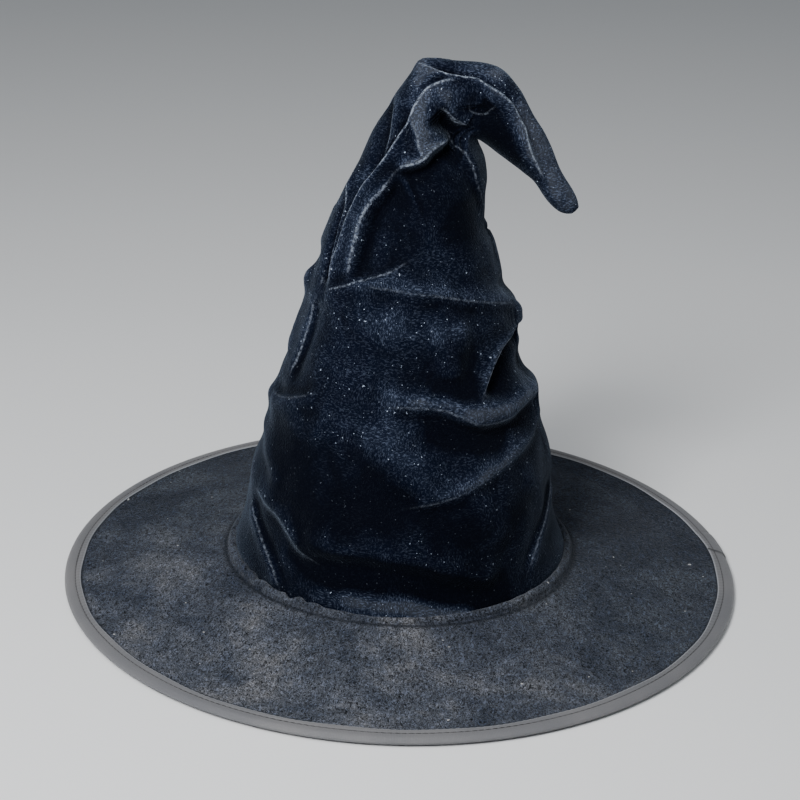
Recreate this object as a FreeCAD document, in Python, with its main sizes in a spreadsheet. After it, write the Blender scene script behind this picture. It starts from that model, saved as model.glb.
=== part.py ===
"""Witch hat of black velvet: a stiffened round brim, a slouched crown and a tip that folds over.

Frame: millimetres, +Z up. The origin is the centre of the brim on the surface that it rests on.
The tip folds over towards +X, and the wearer's head goes in along +Z from below.
Each sub-part is written to parts/LABEL.step.
"""

import FreeCAD, Part
import os

import Sketcher

Vector = FreeCAD.Vector

# Driving dimensions in millimetres and degrees. Each name is the alias of a cell in the sheet.
SIZES = {
    # Brim: three plies that lie flat near the edge and rise towards the crown.
    "brim_radius": 200,
    "ply_edge_radius": 196,
    "flat_radius": 172,
    "shoulder_radius": 112,
    "hole_radius": 99.6,
    "rest_height": 1.2,
    "shoulder_rise": 7,
    "hole_rise": 9.2,
    "under_ply": 0.5,
    "foam_ply": 1.7,
    "velvet_ply": 0.8,
    "collar_foot_radius": 105.5,
    "collar_foot_rise": 1.8,
    "collar_bend_radius": 101.3,
    "collar_bend_rise": 5.1,
    "collar_height": 18.5,
    # Edge tape, folded round the plies and round a wire hoop.
    "tape_inner_radius": 190.5,
    "tape_foot_radius": 195.5,
    "tape_wall": 0.6,
    "tape_height": 5.1,
    "slot_radius": 198.9,
    "lap_angle": 8,
    "lap_start": 4,
    "wire_radius": 0.7,
    "hoop_radius": 197.3,
    "hoop_height": 2.7,
    "wire_gap_angle": 0.4,
    "sleeve_radius": 1.15,
    "sleeve_angle": 5,
    "thread_radius": 0.25,
    "stitch_row_radius": 193.2,
    # Head opening.
    "band_radius": 90,
    "band_thickness": 1.2,
    "band_foot": 7,
    "band_top": 32,
    "seam_tape_radius": 98.9,
    "seam_tape_foot": 9.9,
    "seam_tape_top": 10.7,
    "seam_thread_radius": 0.3,
    "label_half_width": 7,
    "label_root": 97,
    "label_length": 20,
    "label_drop": 3,
    "label_thickness": 0.3,
    # Crown: how far each layer's two faces lie inside the velvet's outer face.
    "velvet_thickness": 1.2,
    "interlining_outer": 1.5,
    "interlining_inner": 2.0,
    "lining_outer": 2.3,
    "lining_inner": 2.7,
    # Fold: the tip turns about this point, on a ball that sits in the open top of the crown.
    "fold_x": 33,
    "fold_height": 281,
    "ball_radius": 23.4,
    "socket_radius": 24.2,
    "tip_end_radius": 5,
    "wadding_clearance": 0.4,
}

# Crown stations, from the hem up: height, lean towards +X, half width and half depth.
CROWN_STATIONS = {
    "hem": (11.4, 0, 99.2, 99.2),
    "root": (18, 0, 98.4, 98.4),
    "brow": (32, 0, 94.8, 94.8),
    "temple": (48, 0, 91.5, 91.5),
    "lower": (77, 0, 86, 86),
    "lower_dip": (100, 0, 80, 80),
    "lower_tuck": (118, 0, 75.5, 75.5),
    "waist": (144, 0, 66, 66),
    "upper_tuck": (165, 1, 61.5, 61),
    "upper": (190, 0, 52, 51),
    "neck": (214, 1, 44, 42),
    "throat": (240, 5.5, 37, 34),
    "notch": (262, 7, 29, 27),
    "dome": (280, 12, 24, 22),
    "crest": (294, 16.5, 18.5, 15),
    "peak": (302, 20, 12, 7),
}

# Tip stations, from the fold outwards: x, height, turn below the horizon, half width and half depth.
TIP_STATIONS = {
    "tip_root": (47, 275.5, 30, 18.2, 16.5),
    "tip_bend": (60, 263, 44, 13.2, 13),
    "tip_middle": (70, 248, 52, 9, 9),
    "tip_wrist": (79.5, 236, 50, 7, 7),
    "tip_end": (88, 227, 42, 6, 6),
}

doc = FreeCAD.newDocument("witch_hat")
sheet = doc.addObject("Spreadsheet::Sheet", "Sizes")
parts = []


def add_size(alias, value):
    """Writes one number to the next free row of the sheet and gives its cell an alias."""
    row = len(add_size.rows) + 1
    add_size.rows.append(alias)
    sheet.set(f"A{row}", alias)
    sheet.set(f"B{row}", str(value))
    sheet.setAlias(f"B{row}", alias)


add_size.rows = []


def fill_sheet():
    for alias, value in SIZES.items():
        add_size(alias, value)
    for name, (height, lean, width, depth) in CROWN_STATIONS.items():
        add_size(f"{name}_height", height)
        add_size(f"{name}_lean", lean)
        add_size(f"{name}_width", width)
        add_size(f"{name}_depth", depth)
    for name, (place, height, turn, width, depth) in TIP_STATIONS.items():
        add_size(f"{name}_x", place)
        add_size(f"{name}_height", height)
        add_size(f"{name}_turn", turn)
        add_size(f"{name}_width", width)
        add_size(f"{name}_depth", depth)
    doc.recompute()


def cell(expression):
    """The sheet's words in an expression, each as a reference to its cell."""
    words = expression.replace("(", " ( ").replace(")", " ) ").split()
    return " ".join(f"Sizes.{word}" if word in add_size.rows else word for word in words)


def bind(thing, prop, expression):
    thing.setExpression(prop, cell(expression))


def named(thing, label):
    thing.Label = label
    parts.append(thing)
    return thing


def origin_plane(body, role):
    return next(plane for plane in body.Origin.OriginFeatures if plane.Role == role)


def new_sketch(body, name, role="XZ_Plane"):
    sketch = body.newObject("Sketcher::SketchObject", name)
    sketch.AttachmentSupport = [(origin_plane(body, role), "")]
    sketch.MapMode = "FlatFace"
    return sketch


def add_outline(sketch, corners):
    """A closed outline whose corners, each a pair of expressions, are bound to the sheet."""
    count = len(corners)
    at = [Vector(10 + 5 * index, (index * index) % 7, 0) for index in range(count)]
    for index in range(count):
        sketch.addGeometry(Part.LineSegment(at[index], at[(index + 1) % count]), False)
    for index in range(count):
        sketch.addConstraint(Sketcher.Constraint("Coincident", index, 2, (index + 1) % count, 1))
    for index, pair in enumerate(corners):
        for kind, value, expression in zip(("DistanceX", "DistanceY"), at[index], pair):
            number = sketch.addConstraint(Sketcher.Constraint(kind, -1, 1, index, 1, value))
            bind(sketch, f"Constraints[{number}]", expression)


def add_ring(sketch, across, height, radius):
    """A circle in the sketch, bound to the sheet by its centre and radius."""
    index = sketch.addGeometry(Part.Circle(Vector(50, 5, 0), Vector(0, 0, 1), 1), False)
    for kind, value, expression in (("DistanceX", 50, across), ("DistanceY", 5, height)):
        number = sketch.addConstraint(Sketcher.Constraint(kind, -1, 1, index, 3, value))
        bind(sketch, f"Constraints[{number}]", expression)
    number = sketch.addConstraint(Sketcher.Constraint("Radius", index, 1))
    bind(sketch, f"Constraints[{number}]", radius)


def revolve(label, draw, angle="360", start="0"):
    """A body made by turning the drawn section about Z through an angle, from a start angle."""
    body = doc.addObject("PartDesign::Body", label)
    sketch = new_sketch(body, f"{label}_section")
    draw(sketch)
    feature = body.newObject("PartDesign::Revolution", f"{label}_turn")
    feature.Profile = sketch
    feature.ReferenceAxis = (sketch, ["V_Axis"])
    bind(feature, "Angle", angle)
    bind(body, "Placement.Rotation.Angle", start)
    body.Placement.Rotation.Axis = Vector(0, 0, 1)
    return named(body, label)


def revolve_outline(label, corners, **turn):
    return revolve(label, lambda sketch: add_outline(sketch, corners), **turn)


def thread_ring(label, across, height, radius="thread_radius"):
    return revolve(label, lambda sketch: add_ring(sketch, across, height, radius))


# ---------------------------------------------------------------- brim

def ply_line(lift):
    """The lower line of a ply from the edge inwards, lifted above the brim's underside."""
    return [
        ("ply_edge_radius", f"rest_height + {lift}"),
        ("flat_radius", f"rest_height + {lift}"),
        ("shoulder_radius", f"rest_height + shoulder_rise + {lift}"),
        ("hole_radius", f"rest_height + hole_rise + {lift}"),
    ]


def brim_plies():
    under_top = "under_ply"
    foam_top = "under_ply + foam_ply"
    velvet_top = "under_ply + foam_ply + velvet_ply"
    revolve_outline("brim_under_fabric", ply_line("0") + ply_line(under_top)[::-1])
    revolve_outline("brim_foam_stiffener", ply_line(under_top) + ply_line(foam_top)[::-1])
    collar_foot = f"rest_height + shoulder_rise + {foam_top} + collar_foot_rise"
    collar_bend = f"rest_height + shoulder_rise + {foam_top} + collar_bend_rise"
    revolve_outline(
        "brim_top_velvet",
        ply_line(foam_top)[:3]
        + [
            ("collar_foot_radius", collar_foot),
            ("collar_bend_radius", collar_bend),
            ("hole_radius", "collar_height"),
            ("hole_radius + velvet_ply", "collar_height + 0.3"),
            ("collar_bend_radius + velvet_ply", f"{collar_bend} + 0.6"),
            ("collar_foot_radius + 0.4", f"{collar_foot} + velvet_ply"),
        ]
        + ply_line(velvet_top)[:3][::-1],
    )


def edge_tape_outline():
    """The folded tape's section: a thick roll at the edge and two thin legs over the plies."""
    slot_top = "rest_height + under_ply + foam_ply + velvet_ply"
    return [
        ("tape_foot_radius", "0"),
        ("brim_radius - 1.6", "0"),
        ("brim_radius - 0.4", "tape_height * 0.18"),
        ("brim_radius", "tape_height * 0.46"),
        ("brim_radius - 0.4", "tape_height * 0.76"),
        ("brim_radius - 1.6", "tape_height * 0.95"),
        ("brim_radius - 3.4", "tape_height"),
        ("tape_inner_radius", f"{slot_top} + tape_wall"),
        ("tape_inner_radius", slot_top),
        ("slot_radius", slot_top),
        ("slot_radius", "rest_height"),
        ("tape_inner_radius", "rest_height"),
        ("tape_inner_radius", "rest_height - tape_wall"),
        ("tape_foot_radius - 0.6", "rest_height - tape_wall"),
    ]


def brim_edge():
    tape = edge_tape_outline()
    revolve_outline(
        "brim_edge_binding", tape, angle="360 - lap_angle", start="lap_start + lap_angle"
    )
    revolve_outline("binding_lap_end", tape, angle="lap_angle", start="lap_start")
    top_thread = "rest_height + under_ply + foam_ply + velvet_ply + tape_wall + thread_radius + 0.15"
    thread_ring("binding_top_stitching", "stitch_row_radius", top_thread)
    thread_ring(
        "binding_under_stitching", "stitch_row_radius", "rest_height - tape_wall - thread_radius - 0.02"
    )
    half_sleeve = "sleeve_angle * 0.5"
    revolve(
        "brim_edge_wire",
        lambda sketch: add_ring(sketch, "hoop_radius", "hoop_height", "wire_radius"),
        angle="360 - wire_gap_angle",
        start="180 + wire_gap_angle * 0.5",
    )

    def sleeve_section(sketch):
        add_ring(sketch, "hoop_radius", "hoop_height", "sleeve_radius")
        add_ring(sketch, "hoop_radius", "hoop_height", "wire_radius")

    revolve("wire_joiner_sleeve", sleeve_section, angle="sleeve_angle", start=f"180 - {half_sleeve}")


# ---------------------------------------------------------------- head opening

def head_opening():
    outer = "band_radius + band_thickness"
    revolve_outline(
        "sweatband",
        [
            ("band_radius", "band_foot"),
            (outer, "band_foot"),
            (outer, "band_top"),
            ("band_radius", "band_top"),
        ],
    )
    revolve_outline(
        "base_seam_tape",
        [
            (f"{outer} + 0.1", "seam_tape_foot"),
            ("seam_tape_radius", "seam_tape_foot"),
            ("seam_tape_radius", "seam_tape_top"),
            (f"{outer} + 0.1", "seam_tape_top"),
        ],
    )
    thread_ring(
        "sweatband_stitching",
        f"{outer} + 2",
        "seam_tape_foot - seam_thread_radius",
        "seam_thread_radius",
    )
    thread_ring(
        "crown_seam_thread",
        "hem_width - velvet_thickness * 0.5",
        "seam_tape_top + seam_thread_radius",
        "seam_thread_radius",
    )
    care_label()


def care_label():
    """A blank folded label: a root sewn under the seam tape and a tail along the brim's underside."""
    body = doc.addObject("PartDesign::Body", "care_label")
    sketch = new_sketch(body, "care_label_section", "YZ_Plane")
    foot = "seam_tape_foot - label_drop"
    add_outline(
        sketch,
        [
            ("label_root", foot),
            ("label_root + label_length", foot),
            ("label_root + label_length", f"{foot} + label_thickness"),
            ("label_root + label_thickness", f"{foot} + label_thickness"),
            ("label_root + label_thickness", "seam_tape_foot"),
            ("label_root", "seam_tape_foot"),
        ],
    )
    pad = body.newObject("PartDesign::Pad", "care_label_width")
    pad.Profile = sketch
    pad.Midplane = True
    bind(pad, "Length", "label_half_width * 2")
    named(body, "care_label")


# ---------------------------------------------------------------- crown

def crown_ring(label, station, inset):
    """One level ellipse of the crown, set in from the velvet's outer face."""
    ring = doc.addObject("Part::Ellipse", f"{label}_{station}")
    bind(ring, "MajorRadius", f"{station}_width - {inset}")
    bind(ring, "MinorRadius", f"{station}_depth - {inset}")
    bind(ring, "Placement.Base.x", f"{station}_lean")
    bind(ring, "Placement.Base.z", f"{station}_height")
    return ring


def crown_solid(label, inset, stations):
    """A solid inside the crown's outer face by an inset, through the stations given."""
    loft = doc.addObject("Part::Loft", label)
    loft.Sections = [crown_ring(label, station, inset) for station in stations]
    loft.Solid = True
    return loft


def extend_down(label, solid, inset):
    """The same solid with a straight plug below the hem, so that a cut with it opens the hem."""
    plug = doc.addObject("Part::Cylinder", f"{label}_plug")
    bind(plug, "Radius", f"hem_width - {inset}")
    bind(plug, "Height", "hem_height")
    both = doc.addObject("Part::Fuse", f"{label}_open")
    both.Base = solid
    both.Tool = plug
    return both


def shell(label, outer, inner):
    hollow = doc.addObject("Part::Cut", label)
    hollow.Base = outer
    hollow.Tool = inner
    return hollow


def cut_above(label, solid, height):
    """The solid below a level."""
    block = doc.addObject("Part::Box", f"{label}_above")
    bind(block, "Length", "brim_radius * 2")
    bind(block, "Width", "brim_radius * 2")
    bind(block, "Height", "brim_radius")
    bind(block, "Placement.Base.x", "0 - brim_radius")
    bind(block, "Placement.Base.y", "0 - brim_radius")
    bind(block, "Placement.Base.z", height)
    return shell(label, solid, block)


def crown():
    stations = list(CROWN_STATIONS)
    outer = crown_solid("velvet_outer", "0", stations)
    inner = crown_solid("velvet_inner", "velvet_thickness", stations)
    inner = extend_down("velvet_inner", inner, "velvet_thickness")
    velvet = shell("velvet_shell", outer, inner)
    socket = doc.addObject("Part::Sphere", "fold_socket")
    bind(socket, "Radius", "socket_radius")
    bind(socket, "Placement.Base.x", "fold_x")
    bind(socket, "Placement.Base.z", "fold_height")
    named(shell("crown_velvet", velvet, socket), "crown_velvet")

    outer = crown_solid("interlining_out", "interlining_outer", stations)
    inner = crown_solid("interlining_in", "interlining_inner", stations)
    inner = extend_down("interlining_in", inner, "interlining_inner")
    cone = shell("interlining_cone", outer, inner)
    named(cut_above("crown_interlining", cone, "upper_height"), "crown_interlining")

    outer = crown_solid("lining_out", "lining_outer", stations)
    inner = crown_solid("lining_in", "lining_inner", stations)
    inner = extend_down("lining_in", inner, "lining_inner")
    sleeve = cut_above("lining_sleeve", shell("lining_cone", outer, inner), "neck_height")
    cap = doc.addObject("Part::Cylinder", "lining_cap")
    bind(cap, "Radius", "neck_depth - lining_outer - 0.1")
    bind(cap, "Height", "lining_inner - lining_outer")
    bind(cap, "Placement.Base.x", "neck_lean")
    bind(cap, "Placement.Base.z", "neck_height - ( lining_inner - lining_outer )")
    whole = doc.addObject("Part::Fuse", "crown_lining")
    whole.Base = sleeve
    whole.Tool = cap
    named(whole, "crown_lining")


# ---------------------------------------------------------------- tip

def tip_solid(label, inset):
    """The tip's solid, set in from its outer face: a ball at the fold, a tapering beak and a round end."""
    ball = doc.addObject("Part::Sphere", f"{label}_ball")
    bind(ball, "Radius", f"ball_radius - {inset}")
    bind(ball, "Placement.Base.x", "fold_x")
    bind(ball, "Placement.Base.z", "fold_height")
    rings = []
    for station in TIP_STATIONS:
        ring = doc.addObject("Part::Ellipse", f"{label}_{station}")
        bind(ring, "MajorRadius", f"{station}_width - {inset}")
        bind(ring, "MinorRadius", f"{station}_depth - {inset} - 0.01")
        bind(ring, "Placement.Base.x", f"{station}_x")
        bind(ring, "Placement.Base.z", f"{station}_height")
        ring.Placement.Rotation.Axis = Vector(0, 1, 0)
        bind(ring, "Placement.Rotation.Angle", f"90 + {station}_turn")
        rings.append(ring)
    beak = doc.addObject("Part::Loft", f"{label}_beak")
    beak.Sections = rings
    beak.Solid = True
    end = doc.addObject("Part::Sphere", f"{label}_end")
    bind(end, "Radius", f"tip_end_radius - {inset}")
    bind(end, "Placement.Base.x", "tip_end_x + 0.6")
    bind(end, "Placement.Base.z", "tip_end_height - 0.6")
    whole = doc.addObject("Part::MultiFuse", label)
    whole.Shapes = [ball, beak, end]
    return whole


def tip():
    outer = tip_solid("tip_outer", "0")
    inner = tip_solid("tip_inner", "velvet_thickness")
    named(shell("tip_velvet", outer, inner), "tip_velvet")
    named(tip_solid("tip_wadding", "( velvet_thickness + wadding_clearance )"), "tip_wadding")


def check_and_write():
    doc.recompute()
    for thing in doc.Objects:
        if "Invalid" in thing.State or "Error" in thing.State:
            raise RuntimeError(f"{thing.Name} failed: {thing.State}")
    os.makedirs("parts", exist_ok=True)
    for thing in parts:
        shape = thing.Shape
        if shape.isNull() or not shape.isValid() or not shape.Solids:
            raise RuntimeError(f"{thing.Label} has no valid solid")
        print(f"{thing.Label:26s} {len(shape.Solids)} solid(s) {shape.Volume:12.1f} mm3")
        shape.exportStep(f"parts/{thing.Label}.step")


fill_sheet()
brim_plies()
brim_edge()
head_opening()
crown()
tip()
check_and_write()
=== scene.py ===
"""The witch hat's visible cloth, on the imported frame: creased velvet crown, brim, edge tape and lining.

Shapes are worked out in millimetres in the row frame and written to the meshes in metres. +Z is up, the
tip folds over towards +X, and the front is -Y. Angles round the hat start at +X and turn towards the back.
"""

import math

import bpy
import numpy as np
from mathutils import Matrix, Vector, noise
from mathutils.bvhtree import BVHTree


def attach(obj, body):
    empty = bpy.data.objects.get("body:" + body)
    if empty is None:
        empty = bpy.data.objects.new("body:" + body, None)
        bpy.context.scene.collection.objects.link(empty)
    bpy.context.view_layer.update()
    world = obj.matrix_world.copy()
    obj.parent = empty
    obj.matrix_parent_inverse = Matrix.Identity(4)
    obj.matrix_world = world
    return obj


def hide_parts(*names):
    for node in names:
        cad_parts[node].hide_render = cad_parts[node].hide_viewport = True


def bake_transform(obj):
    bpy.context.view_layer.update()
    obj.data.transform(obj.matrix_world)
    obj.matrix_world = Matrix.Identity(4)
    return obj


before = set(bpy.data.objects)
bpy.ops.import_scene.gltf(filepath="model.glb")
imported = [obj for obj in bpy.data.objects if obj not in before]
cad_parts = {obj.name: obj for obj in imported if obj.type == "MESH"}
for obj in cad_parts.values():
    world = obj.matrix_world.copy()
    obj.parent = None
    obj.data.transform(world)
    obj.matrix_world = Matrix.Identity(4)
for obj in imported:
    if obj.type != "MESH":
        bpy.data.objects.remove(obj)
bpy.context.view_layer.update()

MM = 0.001

# The viewer's eye, in mm: the camera stands there, and the front folds are thrown onto the cloth from there.
EYE_DISTANCE = 950
EYE_HEIGHT_ANGLE = math.radians(27.34)
EYE_ROLL = math.radians(1.41)
EYE_AIM = (-2.3, 0, 104.9)
EYE_LENS = 69.7

# Brim and opening, in mm. PLY_LINE is the brim's underside as (radius, height), PLIES its whole thickness,
# and HEM_TUCK how far the crown's foot is drawn in at the front.
PLY_LINE = [(196, 1.2), (172, 1.2), (112, 8.2), (99.8, 10.4)]
PLIES = 3.0
HEM_TUCK = 2.6
BAND_RADIUS = 90

# The edge tape, in mm, and the lap where its end covers its start. The stitches lie 0.6 mm further out than
# the CAD's. LAP_SLANT is in radians for each mm across the tape, UNDER_THE_LAP in radians.
TAPE_INNER = 190.5
TAPE_MIDDLE = 195
TAPE_THICK = 0.6
STITCH_ROW = 193.8
LAP_START = math.radians(4)
LAP_ANGLE = math.radians(8)
LAP_THICK = 0.3
LAP_SLANT = 0.0045
UNDER_THE_LAP = 0.03

# The sides of the hat that folds are drawn from.
FRONT, BACK, RIGHT, LEFT = (0, -1), (0, 1), (1, 0), (-1, 0)

# How far from a fold's crest in mm the crown's material is told of it.
CREST_WINDOW = 5.0

# The crown's mesh: this many rings, and this many points round each.
CROWN_STEPS = 310

# Crown outline, hem to tip: x and z on the outer (left) side, x and z on the inner (right) side, half depth.
CROWN_OUTLINE = [
    (-99.0, 11.4, 99.0, 11.4, 99.0),
    (-99.0, 18, 98.4, 18, 96.0),
    (-97.0, 25, 95.5, 25, 94.0),
    (-94.2, 34, 92.6, 34, 93.6),
    (-92.0, 45, 90.6, 45, 92.0),
    (-90.4, 57, 89.6, 57, 90.5),
    (-88.0, 69, 88.0, 69, 88.0),
    (-84.0, 82, 84.6, 82, 84.5),
    (-79.6, 96, 80.6, 96, 80.5),
    (-77.2, 109, 77.4, 109, 77.0),
    (-73.6, 121, 74.4, 121, 74.0),
    (-69.4, 133, 69.4, 133, 69.0),
    (-65.2, 146, 65.6, 146, 65.0),
    (-61.2, 158, 63.0, 157, 61.5),
    (-58.2, 168, 62.0, 167, 60.0),
    (-57.4, 177, 57.2, 176, 57.0),
    (-53.6, 188, 52.0, 188, 52.0),
    (-47.4, 202, 48.4, 202, 46.5),
    (-42.6, 215, 44.2, 214, 42.5),
    (-37.6, 228, 42.6, 226, 38.5),
    (-32.4, 240, 43.0, 238, 35.0),
    (-27.2, 251, 41.0, 248, 31.5),
    (-22.4, 261, 37.6, 256, 28.5),
    (-16.4, 270.6, 36.4, 259.4, 26.0),
    (-10.6, 279.4, 36.2, 260.2, 24.0),
    (-4.6, 288.6, 36.4, 260.4, 22.5),
    (1.6, 296.8, 36.8, 260.4, 21.0),
    (5.6, 300.6, 37.0, 260.3, 20.5),
    (11.0, 302.4, 37.6, 260.0, 19.8),
    (19.0, 303.4, 38.4, 259.6, 19.0),
    (31.0, 303.2, 40.0, 258.6, 17.8),
    (43.0, 301.0, 43.4, 256.4, 16.4),
    (51.2, 296.8, 47.4, 253.4, 15.0),
    (58.4, 289.0, 52.4, 249.8, 13.4),
    (64.2, 280.4, 57.6, 245.8, 12.0),
    (69.4, 271.2, 63.0, 241.6, 10.6),
    (74.2, 262.0, 68.4, 237.2, 9.2),
    (79.4, 251.0, 74.0, 230.8, 8.0),
    (84.6, 240.6, 79.2, 225.4, 7.0),
    (89.4, 233.0, 83.6, 221.8, 6.4),
    (92.8, 227.4, 87.4, 220.2, 5.4),
    (94.2, 223.4, 90.2, 219.8, 3.2),
]

# Folds of the crown. Each path is drawn in mm on the hat's middle plane and thrown onto the cloth along the
# line of sight. Then the height and reach in mm of the cloth left of the path, the same to its right, and how
# crisp the edge is, from 0 for a soft swell to 1 for a pinched crest with a painted highlight along it,
# partly the pile standing open there.
FRONT_FOLDS = [
    # Gathered pleats from the fold down to the knot on the left.
    ([(26, 293), (20, 292), (14, 290), (9, 287), (5, 281), (1, 273), (-4, 264), (-12, 250), (-24, 233),
      (-31, 217), (-38, 195), (-46, 173)], (4.2, 7), (-4.0, 4), 1.0),
    ([(-6, 239), (-12, 229), (-21, 217), (-26, 199), (-32, 176)], (-6.5, 9), (5.0, 7), 0.8),
    ([(-9, 284), (-11, 269), (-16, 249), (-21, 236)], (2.0, 4), (-4.0, 5), 0.7),
    ([(-21, 273), (-29, 252), (-35, 224), (-42, 198), (-48, 172)], (3.0, 4), (-4.0, 4), 0.9),
    ([(-30, 238), (-38, 214), (-44, 194), (-50, 172)], (-3.4, 3), (2.4, 4), 0.7),
    ([(5, 294), (4, 289), (2, 281), (-1, 273)], (1.6, 4), (1.6, 4), 0.1),
    # The flap that hangs over the crown's front, rolled round a long dark hole.
    ([(-6, 239), (-3, 241), (4, 243), (9, 246), (13, 251), (18, 255), (25, 259)], (4.6, 8), (-6.0, 9), 1.0),
    ([(21, 278), (15, 280), (10, 278), (7, 273), (6, 268), (7, 262), (10, 256)], (3.4, 4), (3.0, 4), 0.15),
    ([(12, 273), (15, 270), (18, 267), (22, 265), (27, 261), (32, 257)], (-7.5, 2.6), (-7.5, 2.8), 0.0),
    ([(15, 275), (18, 274), (21, 271), (25, 268), (31, 265)], (3.4, 5), (-3.0, 2), 0.9),
    ([(0, 272), (1, 266), (3, 260), (4, 253), (8, 247)], (2.0, 4), (-3.6, 3), 0.7),
    ([(32, 279), (33, 275), (38, 273), (42, 274), (46, 279)], (-3.4, 4), (-1.6, 5), 0.5),
    ([(19, 264), (24, 261), (28, 256), (31, 249), (34, 243), (36, 236), (39, 229), (42, 223)],
     (2.6, 4), (-2.4, 5), 0.45),
    # The crest along the tip's front.
    ([(5, 300), (15, 297), (27, 294), (35, 293), (42, 289), (49, 285), (55, 280), (59, 274), (63, 267),
      (65, 260), (68, 253), (72, 246), (76, 238)], (-3.6, 7), (3.4, 6), 1.0),
    # Two creases that part from the knot and close a lens between them, and the one that falls from its end.
    ([(-48, 171), (-35, 174), (-27, 177), (-17, 180), (-9, 183), (-1, 189)], (0.2, 6), (3.6, 7), 0.6),
    ([(-24, 172), (-7, 170), (5, 168), (20, 167), (36, 165), (54, 164), (68, 166)],
     (4.0, 8), (-3.0, 9), 0.42),
    ([(65, 160), (61, 147), (56, 138), (51, 124), (47, 111), (46, 105)], (-5.0, 10), (4.4, 9), 0.9),
    # The puffed roll across the right half, and the soft crease that swings under it.
    ([(-18, 108), (3, 106), (22, 104), (44, 99), (60, 103), (76, 116)], (5.0, 6), (5.0, 6), 0.2),
    ([(-10, 98), (7, 98), (22, 97), (33, 93), (45, 89), (60, 93), (69, 103), (77, 118)],
     (2.4, 3), (-5.4, 9), 0.5),
    ([(79, 100), (77, 84), (69, 71), (55, 58), (38, 45), (23, 38), (4, 33)], (-2.0, 12), (4.0, 8), 0.35),
    ([(89, 72), (89, 50), (87, 33), (82, 13), (77, -9)], (2.6, 4), (-2.6, 6), 0.5),
    # Soft creases that fall from the lens and pull the front into folds.
    ([(8, 160), (14, 146), (18, 130), (20, 114)], (3.0, 9), (-3.0, 9), 0.0),
    ([(34, 158), (36, 142), (34, 126), (32, 112)], (-2.6, 9), (2.6, 9), 0.0),
    ([(-30, 90), (-20, 66), (-2, 50), (20, 40)], (1.8, 12), (-2.8, 14), 0.0),
    # Creases at the lower left.
    ([(-88, 46), (-81, 34), (-73, 24), (-62, 5), (-50, -6)], (3.0, 5), (-2.0, 6), 0.45),
    ([(-90, 41), (-87, 26), (-83, 11), (-76, -9), (-73, -26)], (-2.6, 4), (3.2, 4), 0.5),
    ([(-52, 168), (-57, 147), (-61, 133), (-68, 117)], (-3.0, 5), (2.6, 5), 0.6),
    ([(-78, 114), (-73, 107), (-64, 106), (-50, 109)], (-3.0, 5), (2.6, 5), 0.3),
    # The front panel bulges over a hollow above the hem.
    ([(-60, 6), (-46, 2), (-33, 0), (-12, -3), (7, -6), (25, -11), (44, -15), (60, -18)],
     (5.0, 13), (-2.4, 7), 0.0),
]

# The back has the same cloth but looser folds, mirrored here and there, and the seam up its middle.
BACK_FOLDS = [
    ([(20, 292), (6, 280), (-4, 262), (-14, 240), (-24, 214), (-36, 186)], (-2.6, 5), (3.6, 6), 0.8),
    ([(-6, 288), (-14, 268), (-22, 246), (-34, 214), (-46, 182)], (-2.4, 5), (3.0, 4), 0.8),
    ([(34, 258), (20, 246), (6, 236), (-4, 226)], (-4.0, 8), (3.6, 8), 0.6),
    ([(8, 300), (30, 294), (44, 286), (56, 274), (66, 258)], (2.6, 6), (-2.0, 8), 0.7),
    ([(-50, 168), (-30, 170), (-6, 166), (22, 160), (48, 160)], (-2.8, 7), (3.6, 7), 0.6),
    ([(-60, 120), (-38, 108), (-12, 104), (10, 108)], (4.0, 7), (-3.4, 8), 0.4),
    ([(70, 112), (50, 100), (30, 92), (8, 92)], (-3.0, 8), (3.8, 8), 0.4),
    ([(-74, 60), (-52, 44), (-24, 34), (4, 34)], (3.0, 9), (-1.6, 10), 0.2),
    ([(80, 40), (62, 20), (40, 8)], (3.0, 6), (-1.4, 8), 0.4),
    ([(34, 150), (30, 128), (26, 100), (24, 70)], (-2.2, 9), (2.4, 8), 0.1),
    ([(2, 215), (1, 180), (0, 140), (0, 100), (0, 50), (0, 10), (0, -20), (0, -32)],
     (-1.5, 1.6), (-1.5, 1.6), 0.95),
]

# Folds that carry on round the sides, drawn across from front to back.
RIGHT_FOLDS = [
    ([(-26, 167), (-8, 168), (10, 162), (28, 152)], (1.4, 6), (-2.4, 8), 0.2),
    ([(-30, 112), (-10, 117), (8, 114), (26, 104), (44, 96)], (1.4, 6), (-2.8, 8), 0.2),
    ([(-36, 88), (-14, 96), (8, 94), (30, 82)], (-2.0, 9), (2.4, 8), 0.15),
    ([(-20, 138), (-2, 130), (14, 133), (30, 141)], (1.8, 7), (-2.0, 7), 0.2),
    ([(-60, 40), (-36, 28), (-12, 22), (14, 26), (34, 38)], (2.0, 8), (-1.6, 9), 0.1),
    ([(12, 212), (6, 198), (-2, 184), (-8, 170)], (1.8, 5), (-2.0, 6), 0.3),
]
LEFT_FOLDS = [
    ([(-20, 178), (-4, 182), (14, 176), (34, 164)], (-2.6, 8), (1.6, 6), 0.2),
    ([(-20, 110), (0, 114), (22, 108), (44, 98)], (-2.6, 8), (1.8, 6), 0.2),
    ([(-58, 34), (-36, 46), (-12, 52), (16, 46), (40, 32)], (-1.8, 9), (2.0, 8), 0.1),
    ([(-4, 166), (2, 150), (4, 134), (-2, 118)], (1.8, 6), (-2.0, 7), 0.2),
    ([(4, 214), (8, 196), (6, 180)], (2.0, 5), (-2.0, 5), 0.4),
]

# Small bulges where folds meet: the place in mm, how far across, and how high.
KNOTS = [
    ((-57, -4, 182), 6, 3.6),
    ((-79, -4, 111), 6, 2.6),
    ((66, -6, 166), 6, 3.0),
    ((78, -8, 117), 7, 1.2),
    ((5, 0, 301), 6, 2.4),
]
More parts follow.
